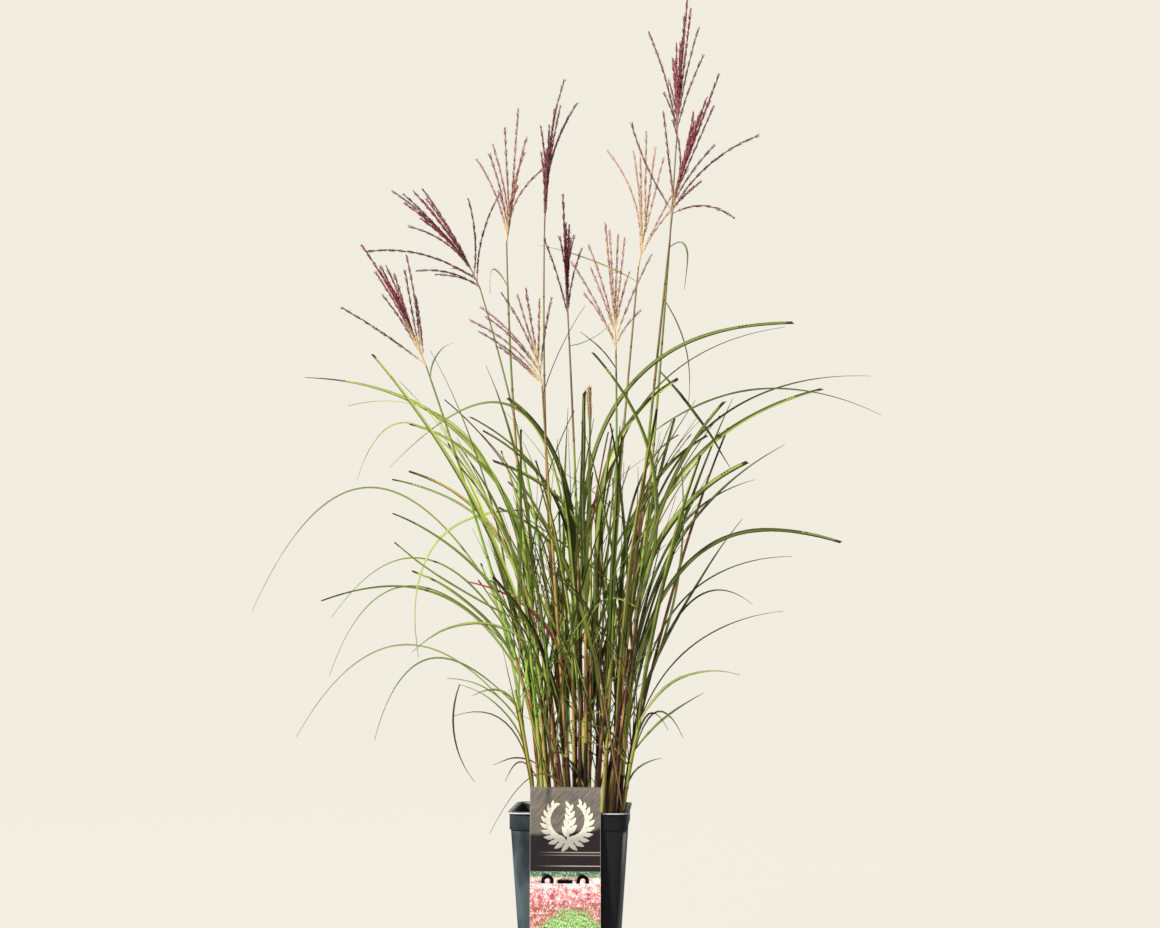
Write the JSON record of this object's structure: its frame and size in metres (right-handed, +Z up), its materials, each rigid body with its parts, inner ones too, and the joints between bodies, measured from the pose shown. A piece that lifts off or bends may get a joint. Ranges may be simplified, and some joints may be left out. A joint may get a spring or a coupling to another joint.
{
  "type": "potted ornamental grass",
  "caption": "Clump of red-flowered maiden grass: thin arching leaves and tall stems with burgundy fanned plumes, in a square black nursery pot with a hanging label card.",
  "frame": {"origin": "centre of the pot's foot, on the ground", "axes": "+Z up along the plant; -Y is the front, where the label hangs"},
  "size_m": [0.8475, 0.6155, 1.3126],
  "materials": {
    "pot": "satin black moulded plastic with a blue-grey sheen",
    "soil": "dark crumbly potting compost with bits of bark",
    "label": "printed plastic sheet, semi-gloss",
    "culm": "smooth green to reddish-brown grass stem",
    "leaf": "satin green grass blade, some straw or red",
    "inner_leaf": "satin darker green grass blade",
    "plume": "fine burgundy flower head with pink flecks",
    "bud": "dry brown sheath"
  },
  "bodies": {
    "root": {"bud_spindle": "bud", "culm_bud": "culm", "culm_centre": "culm", "culm_centre_back": "culm", "culm_centre_left": "culm", "culm_centre_right": "culm", "culm_far_left": "culm", "culm_left": "culm", "culm_left_low": "culm", "culm_right_back": "culm", "culm_right_high": "culm", "culm_right_low": "culm", "inner_a": "inner_leaf", "inner_b": "inner_leaf", "inner_c": "inner_leaf", "inner_d": "inner_leaf", "inner_e": "inner_leaf", "inner_f": "inner_leaf", "inner_g": "inner_leaf", "inner_h": "inner_leaf", "inner_i": "inner_leaf", "inner_j": "inner_leaf", "inner_k": "inner_leaf", "inner_l": "inner_leaf", "label": "label", "plume_centre": "plume", "plume_centre_back": "plume", "plume_centre_left": "plume", "plume_centre_right": "plume", "plume_far_left": "plume", "plume_left": "plume", "plume_left_low": "plume", "plume_right_back": "plume", "plume_right_high": "plume", "plume_right_low": "plume", "pot": "pot", "shoot_a": "leaf", "shoot_b": "leaf", "shoot_c": "leaf", "shoot_d": "leaf", "shoot_e": "leaf", "shoot_f": "leaf", "shoot_g": "leaf", "shoot_h": "leaf", "shoot_i": "leaf", "shoot_j": "leaf", "shoot_k": "leaf", "shoot_l": "leaf", "shoot_m": "leaf", "shoot_n": "leaf", "soil": "soil"}
  },
  "joints": []
}
